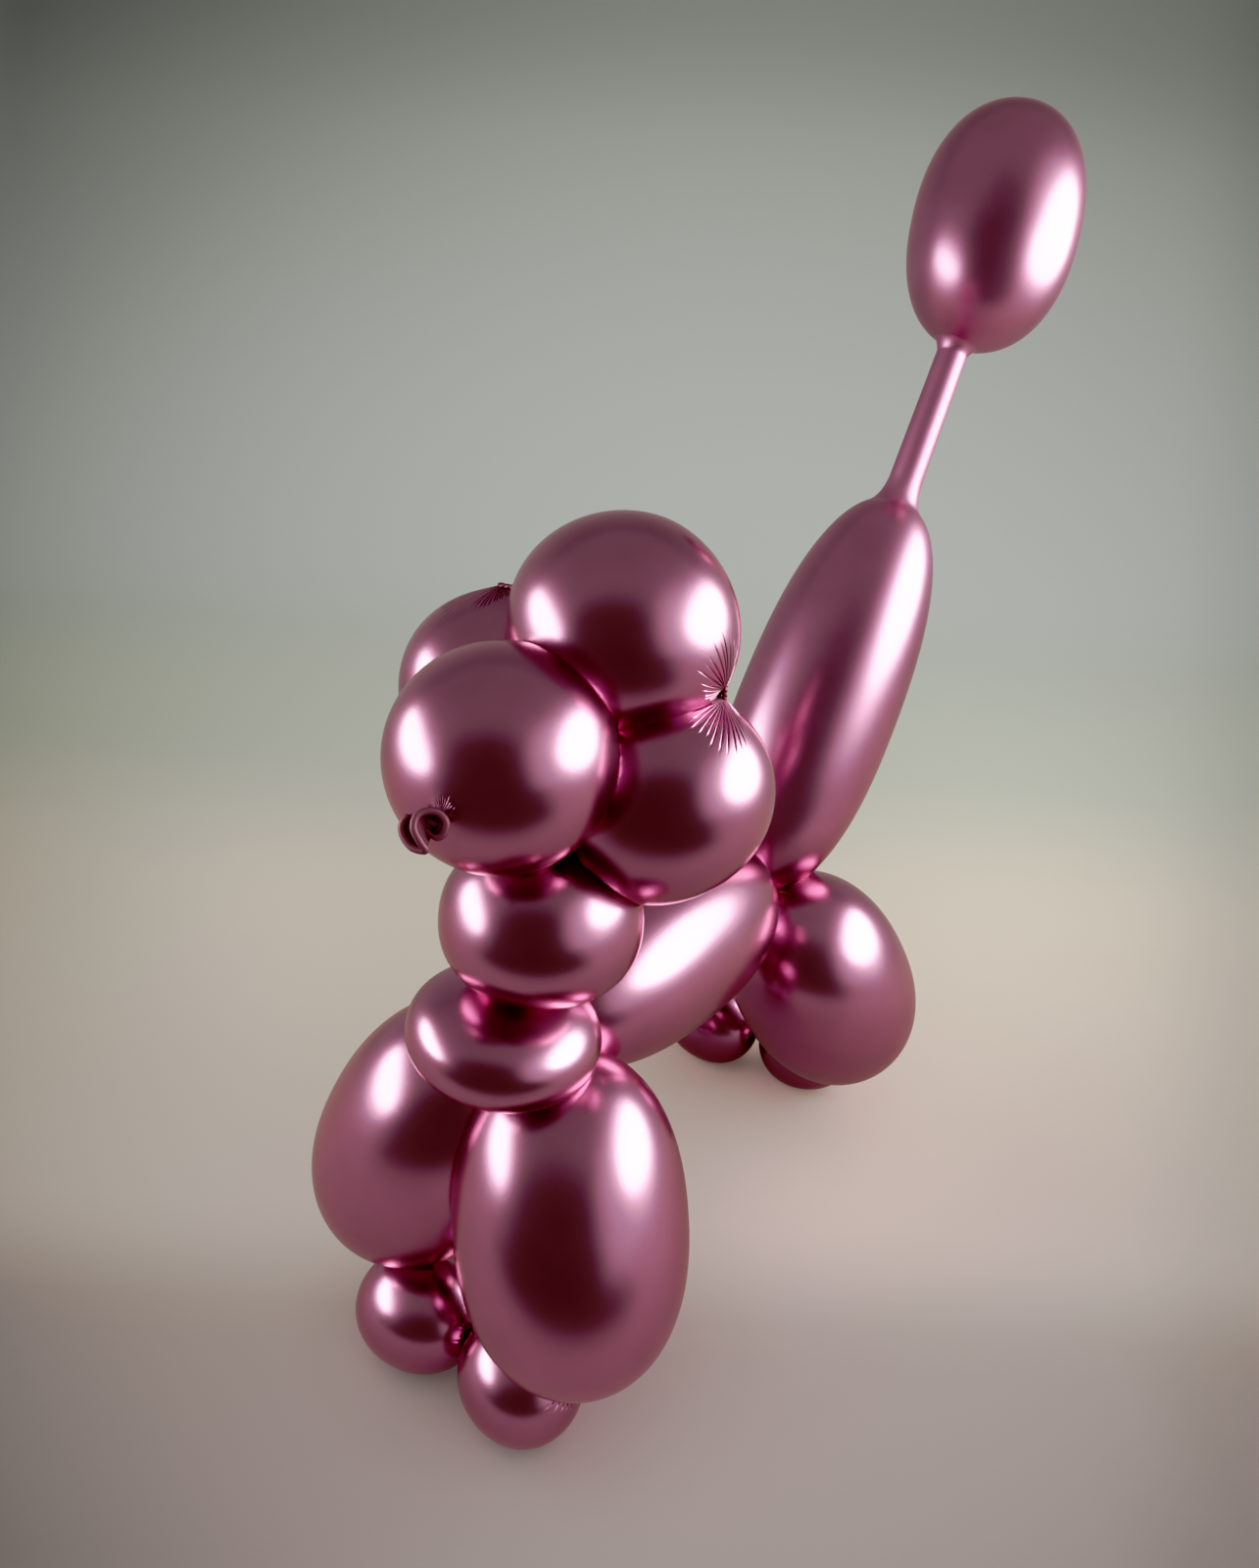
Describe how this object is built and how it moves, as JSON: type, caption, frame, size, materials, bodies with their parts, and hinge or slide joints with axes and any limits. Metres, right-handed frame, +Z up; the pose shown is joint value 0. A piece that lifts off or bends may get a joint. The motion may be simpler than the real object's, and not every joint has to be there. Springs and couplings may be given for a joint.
{
  "type": "balloon poodle",
  "caption": "Standing poodle twisted from one long modelling balloon, with a tied nozzle on the snout and a pompom on a thin stem at the tail's tip.",
  "frame": {"origin": "middle of the footprint, on the surface that the feet stand on", "axes": "+Z up, -Y towards the nose, +X towards the dog's left side"},
  "size_m": [0.1122, 0.2782, 0.3125],
  "materials": {
    "chrome_rubber": "stretched latex with a mauve chrome effect, satin mirror, darker and pleated towards the twists"
  },
  "bodies": {
    "root": {"balloon": "chrome_rubber"}
  },
  "joints": []
}
